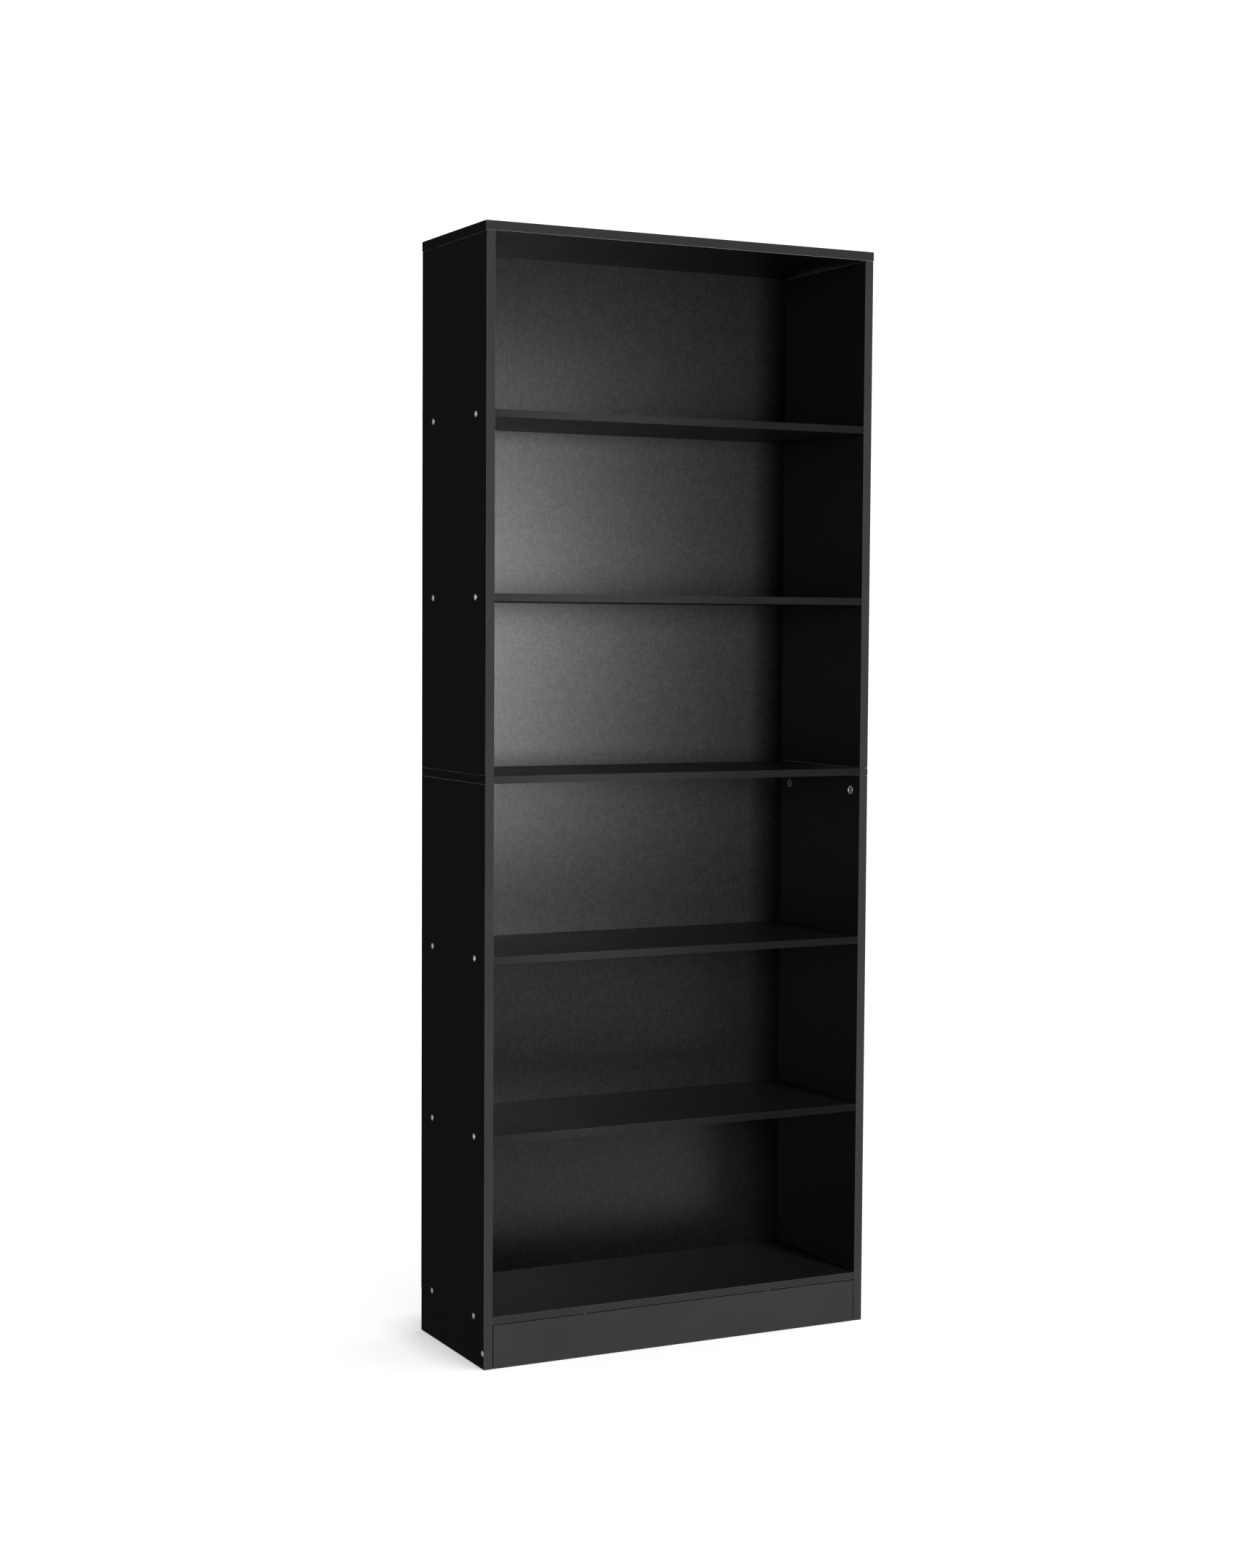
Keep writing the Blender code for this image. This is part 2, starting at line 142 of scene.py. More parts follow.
class Nodes:
    """Adds shader nodes to a material and links them as they come."""

    def __init__(self, tree):
        self.tree = tree

    def add(self, kind, inputs=None, **settings):
        made = self.tree.nodes.new(kind)
        for name, value in settings.items():
            setattr(made, name, value)
        for socket, value in (inputs or {}).items():
            if isinstance(value, bpy.types.NodeSocket):
                self.tree.links.new(value, made.inputs[socket])
            else:
                made.inputs[socket].default_value = value
        return made

    def coordinates(self, scale=(1, 1, 1)):
        place = self.add("ShaderNodeTexCoord").outputs["Object"]
        mapping = self.add("ShaderNodeMapping", {"Vector": place, "Scale": scale})
        return mapping.outputs["Vector"]

    def noise(self, scale, detail=2.0, roughness=0.5, stretch=(1, 1, 1)):
        inputs = {
            "Vector": self.coordinates(stretch),
            "Scale": scale,
            "Detail": detail,
            "Roughness": roughness,
        }
        return self.add("ShaderNodeTexNoise", inputs).outputs["Fac"]

    def span(self, value, low, high, start=0.3, end=0.7):
        """A texture's usual range mapped onto low to high."""
        inputs = {
            "Value": value,
            "From Min": start,
            "From Max": end,
            "To Min": low,
            "To Max": high,
        }
        return self.add("ShaderNodeMapRange", inputs).outputs["Result"]

    def maths(self, operation, first, second=0.0):
        made = self.add("ShaderNodeMath", {0: first, 1: second}, operation=operation)
        return made.outputs["Value"]

    def mix(self, factor, first, second):
        """Two colours mixed. Its sockets go by number, because each kind of value has its own."""
        inputs = {0: factor, 6: first, 7: second}
        for socket in (6, 7):
            if not isinstance(inputs[socket], bpy.types.NodeSocket):
                inputs[socket] = (*inputs[socket], 1.0)
        return self.add("ShaderNodeMix", inputs, data_type="RGBA").outputs[2]

    def bump(self, height, distance, strength=1.0, under=None):
        inputs = {"Height": height, "Distance": distance, "Strength": strength}
        if under:
            inputs["Normal"] = under
        return self.add("ShaderNodeBump", inputs).outputs["Normal"]

    def wear_and_painted_highlight(self):
        """1 along the arrises, broken up so that the wear comes and goes. The paler grey that it mixes in is
        partly wear and partly a painted highlight along the edges.
        """
        mask = self.add("ShaderNodeAttribute", None, attribute_name="arris").outputs["Fac"]
        return self.maths("MULTIPLY", mask, self.span(self.noise(90, 4.0), 0.15, 1.0))


def finish_material(name, metallic=0.0, specular=0.5):
    material = bpy.data.materials.new(name)
    material.use_nodes = True
    shader = material.node_tree.nodes["Principled BSDF"]
    shader.inputs["Metallic"].default_value = metallic
    shader.inputs["Specular IOR Level"].default_value = specular
    return material, Nodes(material.node_tree), shader


def connect(nodes, shader, colour, roughness, normal):
    for socket, value in (("Base Color", colour), ("Roughness", roughness), ("Normal", normal)):
        nodes.tree.links.new(value, shader.inputs[socket])


def melamine_finish():
    """Black melamine paper with a fine pearl structure."""
    material, nodes, shader = finish_material("black_melamine_board", specular=0.35)
    cloud = nodes.noise(6.0, 4.0)
    speck = nodes.noise(2200.0, 2.0, 0.6)
    pearl = nodes.noise(900.0, 3.0, 0.55)
    face = nodes.mix(nodes.span(cloud, 0.0, 1.0), (0.0190, 0.0190, 0.0195), (0.0215, 0.0215, 0.0220))
    flecked = nodes.mix(nodes.span(speck, 0.0, 0.35, 0.55, 0.8), face, (0.034, 0.034, 0.034))
    # Paler grey along the arrises, partly wear and partly a painted highlight on the edges.
    colour = nodes.mix(nodes.maths("MULTIPLY", nodes.wear_and_painted_highlight(), 0.5), flecked, (0.10, 0.10, 0.098))
    roughness = nodes.maths("ADD", nodes.span(pearl, 0.40, 0.50), nodes.span(cloud, -0.02, 0.03))
    connect(nodes, shader, colour, roughness, nodes.bump(pearl, 0.00006, 0.5))
    return material


def banding_finish(name, along, colour, roughness, specular=0.35):
    """Black plastic edging, drawn with fine lines along its length."""
    material, nodes, shader = finish_material(name, specular=specular)
    stretch = tuple(0.02 if axis == along else 1.0 for axis in range(3))
    lines = nodes.noise(2600.0, 2.0, 0.6, stretch)
    cloud = nodes.noise(9.0, 3.0)
    low = tuple(0.94 * value for value in colour)
    high = tuple(1.06 * value for value in colour)
    face = nodes.mix(nodes.span(cloud, 0.0, 1.0), low, high)
    # Paler grey along the arrises, partly wear and partly a painted highlight on the edges.
    wear_and_painted_highlight = nodes.mix(nodes.maths("MULTIPLY", nodes.wear_and_painted_highlight(), 0.55), face, (0.10, 0.10, 0.10))
    drawn = nodes.span(lines, roughness - 0.05, roughness + 0.05)
    rough = nodes.maths("ADD", drawn, nodes.span(cloud, -0.02, 0.02))
    connect(nodes, shader, wear_and_painted_highlight, rough, nodes.bump(lines, 0.00003, 0.4))
    return material


def chipped_with_painted_highlight_finish():
    """The sawn arris of a board, where the melamine has flaked off the chipboard in places. Its pale flakes
    are partly exposed board and partly a painted highlight along the arris.
    """
    material, nodes, shader = finish_material("chipped_arris_with_painted_highlight", specular=0.2)
    flakes = nodes.noise(420.0, 3.0, 0.6)
    along = nodes.noise(26.0, 3.0, 0.6)
    flaked = nodes.span(flakes, 0.6, 1.0, 0.40, 0.58)
    pale_flakes = nodes.maths("MULTIPLY", flaked, nodes.span(along, 0.6, 1.0, 0.40, 0.55))
    # Pale grey where the flakes are: partly exposed board, partly a painted highlight.
    colour = nodes.mix(pale_flakes, (0.020, 0.020, 0.020), (0.70, 0.69, 0.66))
    connect(nodes, shader, colour, nodes.span(flakes, 0.65, 0.85), nodes.bump(flakes, 0.0001, 0.6))
    return material


def chipboard_finish():
    """Sawn particle board: flakes in several browns, with pits between them."""
    material, nodes, shader = finish_material("raw_chipboard", specular=0.2)
    cells = {"Vector": nodes.coordinates(), "Scale": 900.0, "Randomness": 1.0}
    flakes = nodes.add("ShaderNodeTexVoronoi", cells)
    tone = nodes.add("ShaderNodeSeparateColor", {"Color": flakes.outputs["Color"]}).outputs[0]
    grain = nodes.noise(2400.0, 3.0, 0.6)
    flake = nodes.mix(tone, (0.30, 0.20, 0.115), (0.52, 0.38, 0.235))
    colour = nodes.mix(nodes.span(grain, 0.0, 0.6, 0.5, 0.8), flake, (0.16, 0.10, 0.055))
    height = nodes.maths("ADD", flakes.outputs["Distance"], grain)
    connect(nodes, shader, colour, nodes.span(grain, 0.78, 0.92), nodes.bump(height, 0.00025, 0.7))
    return material


def panel_front_finish():
    """Black paper on hardboard, pressed with a linen weave that catches the light."""
    material, nodes, shader = finish_material("linen_paper")
    warp = nodes.noise(460.0, 3.0, 0.6, (1.0, 1.0, 0.22))
    weft = nodes.noise(460.0, 3.0, 0.6, (0.30, 1.0, 1.0))
    weave = nodes.maths("ADD", warp, weft)
    mottle = nodes.noise(42.0, 4.0, 0.6)
    face = nodes.mix(nodes.span(mottle, 0.0, 1.0), (0.0052, 0.0052, 0.0054), (0.0072, 0.0072, 0.0074))
    colour = nodes.mix(nodes.span(weave, 0.0, 0.6, 0.95, 1.3), face, (0.013, 0.013, 0.013))
    threads = nodes.span(weave, 0.292, 0.310, 0.8, 1.2)
    roughness = nodes.maths("ADD", threads, nodes.span(mottle, -0.004, 0.004))
    connect(nodes, shader, colour, roughness, nodes.bump(weave, 0.00006, 0.6))
    sheen = nodes.span(weave, 0.43, 0.57, 0.8, 1.2)
    nodes.tree.links.new(sheen, shader.inputs["Specular IOR Level"])
    return material


def panel_rear_finish():
    """The screen side of hardboard, dyed near black, with fibres that show brown."""
    material, nodes, shader = finish_material("hardboard_screen_side", specular=0.3)
    fibres = nodes.noise(700.0, 4.0, 0.7, (1.0, 1.0, 0.35))
    cloud = nodes.noise(5.0, 4.0, 0.6)
    wires = {"Vector": nodes.coordinates(), "Scale": 110.0, "Distortion": 0.6}
    across = nodes.add("ShaderNodeTexWave", wires, bands_direction="X")
    down = nodes.add("ShaderNodeTexWave", wires, bands_direction="Z")
    screen = nodes.maths("MULTIPLY", across.outputs["Fac"], down.outputs["Fac"])
    face = nodes.mix(nodes.span(cloud, 0.0, 1.0), (0.020, 0.0185, 0.0175), (0.030, 0.0275, 0.0255))
    colour = nodes.mix(nodes.span(fibres, 0.0, 0.55, 0.5, 0.75), face, (0.060, 0.050, 0.042))
    connect(nodes, shader, colour, nodes.span(fibres, 0.52, 0.68), nodes.bump(screen, 0.00012, 0.7))
    return material


def zinc_finish(name, pale, dull, metallic, low, high):
    """Plated or cast zinc: cloudy spangle, hairline scratches and a duller bloom."""
    material, nodes, shader = finish_material(name, metallic=metallic)
    spangle = nodes.noise(650.0, 3.0, 0.6)
    bloom = nodes.noise(160.0, 4.0, 0.6)
    scratches = nodes.noise(3000.0, 2.0, 0.6, (1.0, 0.04, 1.0))
    tone = nodes.mix(nodes.span(bloom, 0.0, 1.0), pale, dull)
    colour = nodes.mix(nodes.span(spangle, 0.0, 0.35), tone, tuple(0.72 * value for value in pale))
    roughness = nodes.maths("ADD", nodes.span(spangle, low, high), nodes.span(scratches, -0.03, 0.05))
    connect(nodes, shader, colour, roughness, nodes.bump(scratches, 0.00003, 0.5))
    return material


def beech_finish():
    """Pressed beech: long grain on the dowel's axis with short dark rays."""
    material, nodes, shader = finish_material("beech_dowel", specular=0.3)
    grain = nodes.noise(1500.0, 4.0, 0.6, (1.0, 1.0, 0.05))
    rays = nodes.noise(2600.0, 2.0, 0.5, (1.0, 1.0, 0.25))
    wood = nodes.mix(nodes.span(grain, 0.0, 1.0), (0.55, 0.36, 0.20), (0.72, 0.52, 0.32))
    colour = nodes.mix(nodes.span(rays, 0.0, 0.6, 0.6, 0.78), wood, (0.34, 0.19, 0.09))
    connect(nodes, shader, colour, nodes.span(grain, 0.50, 0.66), nodes.bump(grain, 0.00008, 0.6))
    return material


MATERIALS = {
    "melamine": melamine_finish(),
    "band_up": banding_finish("black_banding_upright", 2, (0.0215, 0.0215, 0.0217), 0.50),
    "band_across": banding_finish("black_banding_level", 0, (0.0175, 0.0175, 0.0177), 0.50),
    "band_shelf": banding_finish("black_banding_shelf", 0, (0.017, 0.017, 0.0172), 0.45, 0.10),
    "band_ends": banding_finish("black_banding_ends", 1, (0.021, 0.021, 0.0212), 0.50),
    "raw": chipboard_finish(),
    # Pale flakes, partly exposed board and partly painted highlight.
    "chipped_with_painted_highlight": chipped_with_painted_highlight_finish(),
    # Pale edging, partly scuffed and partly painted highlight.
    "scraped_with_painted_highlight": banding_finish("scraped_banding_with_painted_highlight", 0, (0.13, 0.13, 0.13), 0.45),
    "panel_front": panel_front_finish(),
    "panel_rear": panel_rear_finish(),
    "screws": zinc_finish("zinc_plate", (0.80, 0.76, 0.68), (0.62, 0.60, 0.56), 0.85, 0.30, 0.42),
    "cams": zinc_finish("cast_zinc_rim", (0.50, 0.50, 0.51), (0.36, 0.36, 0.37), 0.80, 0.40, 0.52),
    # A darker copy of the cast zinc, which paints shade into the cams' recessed faces.
    "cam_faces_painted_shade": zinc_finish("cast_zinc_face_painted_shade", (0.20, 0.20, 0.21), (0.12, 0.12, 0.13), 0.70, 0.48, 0.60),
    "beech": beech_finish(),
}


# Meshes


def mesh_from(bm, name, smooth=True):
    """The mesh with empty material slots, so that a Boolean keeps each face's slot."""
    bmesh.ops.recalc_face_normals(bm, faces=bm.faces)
    mesh = bpy.data.meshes.new(name)
    bm.to_mesh(mesh)
    bm.free()
    for _ in range(SLOTS):
        mesh.materials.append(None)
    if smooth:
        mesh.shade_smooth()
        mesh.set_sharp_from_angle(angle=SHARP)
    return mesh


def dress(mesh, materials):
    """Fills the mesh's slots with these materials and drops the slots left over."""
    for index, material in enumerate(materials):
        mesh.materials[index] = material
    while len(mesh.materials) > len(materials):
        mesh.materials.pop()


def radius_at(radius, angle):
    return radius(angle) if callable(radius) else radius


def thread(root, crest, pitch, low, high):
    """Rings of (radius, height) from high to low, whose radius follows a single helical ridge."""

    def at(height):
        ends = min(1.0, (high - height) / pitch, (height - low) / pitch)

        def radius(angle):
            phase = (height / pitch + angle / tau) % 1.0
            ridge = max(0.0, 1.0 - abs(phase - 0.5) / 0.3)
            return root + (crest - root) * ridge * max(0.0, ends)

        return radius

    count = round((high - low) / pitch * THREAD_RINGS)
    heights = [high + (low - high) * i / count for i in range(count + 1)]
    return [(at(height), height) for height in heights]


def turned_mesh(name, rings, steps=STEPS, slot=0, start=0.0):
    """A closed turned shape from (radius, height) rings. Its first and last rings are points on the axis."""
    bm = bmesh.new()
    poles = [bm.verts.new((0, 0, height)) for _, height in (rings[0], rings[-1])]
    angles = [start + tau * i / steps for i in range(steps)]
    loops = []
    for radius, height in rings[1:-1]:
        reach = [radius_at(radius, angle) for angle in angles]
        points = [(r * cos(a), r * sin(a), height) for r, a in zip(reach, angles)]
        loops.append([bm.verts.new(point) for point in points])
    for i in range(steps):
        j = (i + 1) % steps
        bm.faces.new((poles[0], loops[0][i], loops[0][j]))
        bm.faces.new((poles[1], loops[-1][j], loops[-1][i]))
        for upper, lower in zip(loops, loops[1:]):
            bm.faces.new((upper[i], lower[i], lower[j], upper[j]))
    for face in bm.faces:
        face.material_index = slot
    return mesh_from(bm, name)


def block_mesh(name, size, slot=0):
    bm = bmesh.new()
    bmesh.ops.create_cube(bm, size=1.0)
    bmesh.ops.scale(bm, vec=size, verts=bm.verts)
    for face in bm.faces:
        face.material_index = slot
    return mesh_from(bm, name, smooth=False)


def add_block(bm, low, high, slot_of, round_of):
    """A block whose faces take their slot, and whose edges take their radius, from where they are."""
    layers = bm.edges.layers.float
    weights = layers.get("bevel_weight_edge") or layers.new("bevel_weight_edge")
    verts = bmesh.ops.create_cube(bm, size=1.0)["verts"]
    bmesh.ops.scale(bm, vec=high - low, verts=verts)
    bmesh.ops.translate(bm, vec=(low + high) / 2, verts=verts)
    for face in {face for vert in verts for face in vert.link_faces}:
        face.normal_update()
        face.material_index = slot_of(face.normal)
    for edge in {edge for vert in verts for edge in vert.link_edges}:
        faces = [face.normal.copy() for face in edge.link_faces]
        edge[weights] = round_of(*faces) / RAW_ROUND


def baked(obj):
    """The object's mesh with its modifiers in it. The object is removed."""
    bpy.context.view_layer.update()
    graph = bpy.context.evaluated_depsgraph_get()
    mesh = bpy.data.meshes.new_from_object(obj.evaluated_get(graph))
    bpy.data.objects.remove(obj)
    return mesh


def carve(mesh, name, cutters, solver="MANIFOLD"):
    """The mesh with each (mesh, place) cut from it."""
    obj = bpy.data.objects.new(name, mesh)
    bpy.context.scene.collection.objects.link(obj)
    tools = []
    for cutter, place in cutters:
        tool = bpy.data.objects.new("tool", cutter)
        bpy.context.scene.collection.objects.link(tool)
        tool.matrix_world = place
        tools.append(tool)
        boolean = obj.modifiers.new("cut", "BOOLEAN")
        boolean.operation = "DIFFERENCE"
        boolean.solver = solver
        boolean.object = tool
    made = baked(obj)
    for tool in tools:
        bpy.data.objects.remove(tool)
    return made


def lies_square(face):
    """Whether the face is square to an axis, as a board's own faces are and its arrises aren't."""
    return max(abs(value) for value in face.normal) > FLAT


def shade(mesh):
    """Flat on the faces of a board, and smooth round its arrises and holes."""
    mesh.shade_smooth()
    mesh.set_sharp_from_angle(angle=SHARP)
    for face in mesh.polygons:
        if lies_square(face):
            face.use_smooth = False


def mark_arrises(mesh):
    """The attribute that the wear and the painted edge highlight follow: 1 on points with no flat face
    beside them.
    """
    flat = [False] * len(mesh.vertices)
    for face in mesh.polygons:
        if lies_square(face):
            for vertex in face.vertices:
                flat[vertex] = True
    attribute = mesh.attributes.new("arris", "FLOAT", "POINT")
    attribute.data.foreach_set("value", [0.0 if lies else 1.0 for lies in flat])


def facing(direction, position):
    """A placement whose local +Z points along direction."""
    turn = UP.rotation_difference(Vector(direction)).to_matrix().to_4x4()
    return Matrix.Translation(position) @ turn


# Pieces


def add_piece(name, mesh, materials, group, node=None, place=None, body=None):
    """A shown piece that stands for a CAD node and rides on that node's body."""
    dress(mesh, [MATERIALS[material] for material in materials])
    piece = bpy.data.objects.new(name, mesh)
    bpy.context.scene.collection.objects.link(piece)
    GROUPS[group].objects.link(piece)
    if place:
        piece.matrix_world = place
    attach(piece, body or BODY_OF[node])
    if node:
        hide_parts(node)
    return piece


def middle_of(node):
    low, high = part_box(node)
    return (low + high) / 2


def screw_places():
    """Each screw's placement, with +Z out of the board's face and the origin on that face."""
    places = {}
    names = sorted(node for node in frame["nodes"] if node.startswith("screw_"))
    for node in names:
        low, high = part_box(node)
        centre = (low + high) / 2
        if node.startswith("screw_top_"):
            places[node] = facing(UP, (centre.x, centre.y, high.z + SCREW_SINK))
        elif centre.x < 0:
            places[node] = facing((-1, 0, 0), (low.x - SCREW_SINK, centre.y, centre.z))
        else:
            places[node] = facing((1, 0, 0), (high.x + SCREW_SINK, centre.y, centre.z))
    return places


def hole_rings():
    """The hole that clears a screw, with its countersink."""
    end = -SCREW_SINK - SCREW_LENGTH - SEAM
    return [
        (0, OVERSHOOT),
        (SCREW_HEAD_RADIUS + SEAM, OVERSHOOT),
        (SCREW_HEAD_RADIUS + SEAM, -SCREW_SINK),
        (SCREW_SHANK_RADIUS + SEAM, -SCREW_SINK - SCREW_HEAD_DEPTH),
        (SCREW_SHANK_RADIUS + SEAM, end),
        (0, end),
    ]


def rod_rings(radius, low, high):
    return [(0, high), (radius, high), (radius, low), (0, low)]


def screw_mesh(turn):
    """Local origin on the face of the board, with the screw pointing down. The socket is turned."""
    root = SCREW_SHANK_RADIUS - SCREW_THREAD
    end = -SCREW_SINK - SCREW_LENGTH
    neck = -SCREW_SINK - SCREW_HEAD_DEPTH
    thread_top = -SCREW_SINK - SCREW_NECK
    thread_low = end + SCREW_TIP

    def hexagon(angle):
        return SOCKET_FLAT / cos((angle - turn) % (pi / 3) - pi / 6)

    rings = [
        (0, -SCREW_SINK - SOCKET_DEPTH - SOCKET_FLAT / 4),
        (hexagon, -SCREW_SINK - SOCKET_DEPTH),
        (hexagon, -SCREW_SINK),
        (SCREW_HEAD_RADIUS - SCREW_HEAD_EDGE, -SCREW_SINK),
        (SCREW_HEAD_RADIUS, -SCREW_SINK - SCREW_HEAD_EDGE),
        (SCREW_SHANK_RADIUS, neck),
        (SCREW_SHANK_RADIUS, thread_top + SCREW_PITCH / 2),
        *thread(root, SCREW_SHANK_RADIUS, SCREW_PITCH, thread_low, thread_top),
        (root * 0.4, end + SCREW_TIP / 4),
        (0, end),
    ]
    return turned_mesh("screw", rings, THREAD_STEPS)


def bolt_mesh():
    """Local origin on the cam's axis, with the bolt standing up from its head."""
    root = BOLT_SHANK_RADIUS - BOLT_THREAD
    thread_low = BOLT_TOP - BOLT_GRIP
    edge = SCREW_HEAD_EDGE
    rings = [
        (0, BOLT_TOP),
        (root * 0.8, BOLT_TOP),
        *thread(root, BOLT_SHANK_RADIUS, BOLT_PITCH, thread_low, BOLT_TOP - edge),
        (BOLT_SHANK_RADIUS, thread_low - edge),
        (BOLT_SHANK_RADIUS, BOLT_NECK_END + edge),
        (BOLT_SHANK_RADIUS - edge, BOLT_NECK_END),
        (BOLT_NECK_RADIUS, BOLT_NECK_END),
        (BOLT_NECK_RADIUS, BOLT_SHOULDER),
        (BOLT_HEAD_RADIUS - edge, BOLT_SHOULDER),
        (BOLT_HEAD_RADIUS, BOLT_SHOULDER - edge),
        (BOLT_HEAD_RADIUS, BOLT_HEAD_START + edge),
        (BOLT_HEAD_RADIUS - edge, BOLT_HEAD_START),
        (0, BOLT_HEAD_START),
    ]
    return turned_mesh("cam_bolt", rings, THREAD_STEPS)


def cam_mesh():
    """Local +Z points out of the board and +Y at the bolt, with the rim's face at the origin."""
    edge = SCREW_HEAD_EDGE
    rings = [
        (0, -CAM_FACE),
        (CAM_RADIUS - CAM_RIM - edge, -CAM_FACE),
        (CAM_RADIUS - CAM_RIM, 0),
        (CAM_RADIUS - edge, 0),
        (CAM_RADIUS, -edge),
        (CAM_RADIUS, edge - CAM_HEIGHT),
        (CAM_RADIUS - edge, -CAM_HEIGHT),
        (0, -CAM_HEIGHT),
    ]
    bolt_depth = -SIDE_THICKNESS / 2
    past_rim = CAM_RADIUS + OVERSHOOT
    pocket_half = BOLT_HEAD_RADIUS + 1.5 * SEAM
    mouth_half = BOLT_HEAD_RADIUS + SEAM
    slot_half = BOLT_NECK_RADIUS + SEAM
    turn = Matrix.Rotation(CAM_CROSS_TURN, 4, "Z")
    pocket = turned_mesh("pocket", rod_rings(CAM_POCKET_RADIUS, -pocket_half, pocket_half))
    slot = block_mesh("slot", (slot_half + past_rim, 2 * past_rim, 2 * slot_half))
    mouth = block_mesh("mouth", (2 * mouth_half, past_rim, 2 * mouth_half))
    long_arm = block_mesh("long_arm", (CAM_CROSS_WIDTH, CAM_CROSS_LENGTH, 2 * CAM_CROSS_DEPTH))
    short_arm = block_mesh("short_arm", (CAM_CROSS_LENGTH * 0.7, CAM_CROSS_WIDTH, 2.1 * CAM_CROSS_DEPTH))
    arrow = turned_mesh("arrow", rod_rings(CAM_RIM * 0.45, -CAM_FACE, OVERSHOOT), 3, start=radians(90))
    cutters = [
        (pocket, Matrix.Translation((0, -CAM_THROW, bolt_depth))),
        (slot, Matrix.Translation(((past_rim - slot_half) / 2, 0, bolt_depth))),
        (mouth, Matrix.Translation((0, -past_rim / 2, bolt_depth))),
        (long_arm, turn),
        (short_arm, turn),
        (arrow, Matrix.Translation((0, CAM_RADIUS - CAM_RIM * 0.55, 0))),
    ]
    mesh = carve(turned_mesh("cam", rings), "cam", cutters)
    # The cam's recessed face and everything below it take the darker zinc: painted shade in the recess.
    for face in mesh.polygons:
        face.material_index = int(face.center.z < -CAM_FACE / 2)
    return mesh


def dowel_mesh(name, radius, length):
    """Fluted and chamfered, standing on its lower end."""

    def fluted(angle):
        return radius * (1 - DOWEL_FLUTE * (0.5 + 0.5 * cos(angle * DOWEL_FLUTES)))

    tip = radius - DOWEL_CHAMFER
    rings = [
        (0, length),
        (tip, length),
        (fluted, length - DOWEL_CHAMFER),
        (fluted, DOWEL_CHAMFER),
        (tip, 0),
        (0, 0),
    ]
    return turned_mesh(name, rings, 4 * DOWEL_FLUTES)


def dimple_rings():
    """Local origin on the panel's rear face, opening upwards."""
    return [
        (0, OVERSHOOT),
        (DIMPLE_RADIUS + 0.0004, 0.0001),
        (DIMPLE_RADIUS, -DIMPLE_DEPTH),
        (0, -DIMPLE_DEPTH - 0.0009),
    ]


def nail_rings():
    """Local origin on the panel's rear face, with the nail pointing down."""
    return [
        (0, 0),
        (NAIL_HEAD_RADIUS * 0.55, -0.00004),
        (NAIL_HEAD_RADIUS * 0.90, -0.00018),
        (NAIL_HEAD_RADIUS, -0.00040),
        (NAIL_HEAD_RADIUS * 0.92, -0.00062),
        (NAIL_SHANK_RADIUS, -0.00130),
        (NAIL_SHANK_RADIUS, 2 * NAIL_SHANK_RADIUS - NAIL_LENGTH),
        (0, -NAIL_LENGTH),
    ]


# Boards

SIDE_LOW, SIDE_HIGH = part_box("lower_side_left")
SIDE_THICKNESS = SIDE_HIGH.x - SIDE_LOW.x
SIDE_INNER = -SIDE_HIGH.x
FRONT, LEFT, RIGHT = Vector((0, -1, 0)), Vector((-1, 0, 0)), Vector((1, 0, 0))
SHELF_FINISHES = ("melamine", "band_shelf", "band_ends", "raw", "chipped_with_painted_highlight", "scraped_with_painted_highlight")
FRAME_FINISHES = ("melamine", "band_across", "band_ends", "raw", "chipped_with_painted_highlight", "scraped_with_painted_highlight")
SIDE_FINISHES = ("melamine", "band_up", "band_ends", "raw", "chipped_with_painted_highlight", "scraped_with_painted_highlight")
STEEL = ("screws",)
BOARDS = {
    "top_panel": ("z", (FRONT, LEFT, RIGHT), FRAME_FINISHES, "frame"),
    "upper_side_left": ("x", (FRONT,), SIDE_FINISHES, "frame"),
    "upper_side_right": ("x", (FRONT,), SIDE_FINISHES, "frame"),
    "lower_side_left": ("x", (FRONT,), SIDE_FINISHES, "frame"),
    "lower_side_right": ("x", (FRONT,), SIDE_FINISHES, "frame"),
    "middle_panel": ("z", (FRONT, LEFT, RIGHT), SHELF_FINISHES, "shelves"),
    "shelf_1": ("z", (FRONT,), SHELF_FINISHES, "shelves"),
    "shelf_2": ("z", (FRONT,), SHELF_FINISHES, "shelves"),
    "shelf_3": ("z", (FRONT,), SHELF_FINISHES, "shelves"),
    "shelf_4": ("z", (FRONT,), SHELF_FINISHES, "shelves"),
    "bottom_panel": ("z", (FRONT,), FRAME_FINISHES, "frame"),
    "plinth": ("y", (), FRAME_FINISHES, "frame"),
}
LEVEL_BOARDS = sorted(
    (name for name, (axis, *_) in BOARDS.items() if axis == "z"),
    key=lambda name: middle_of(name).z,
)


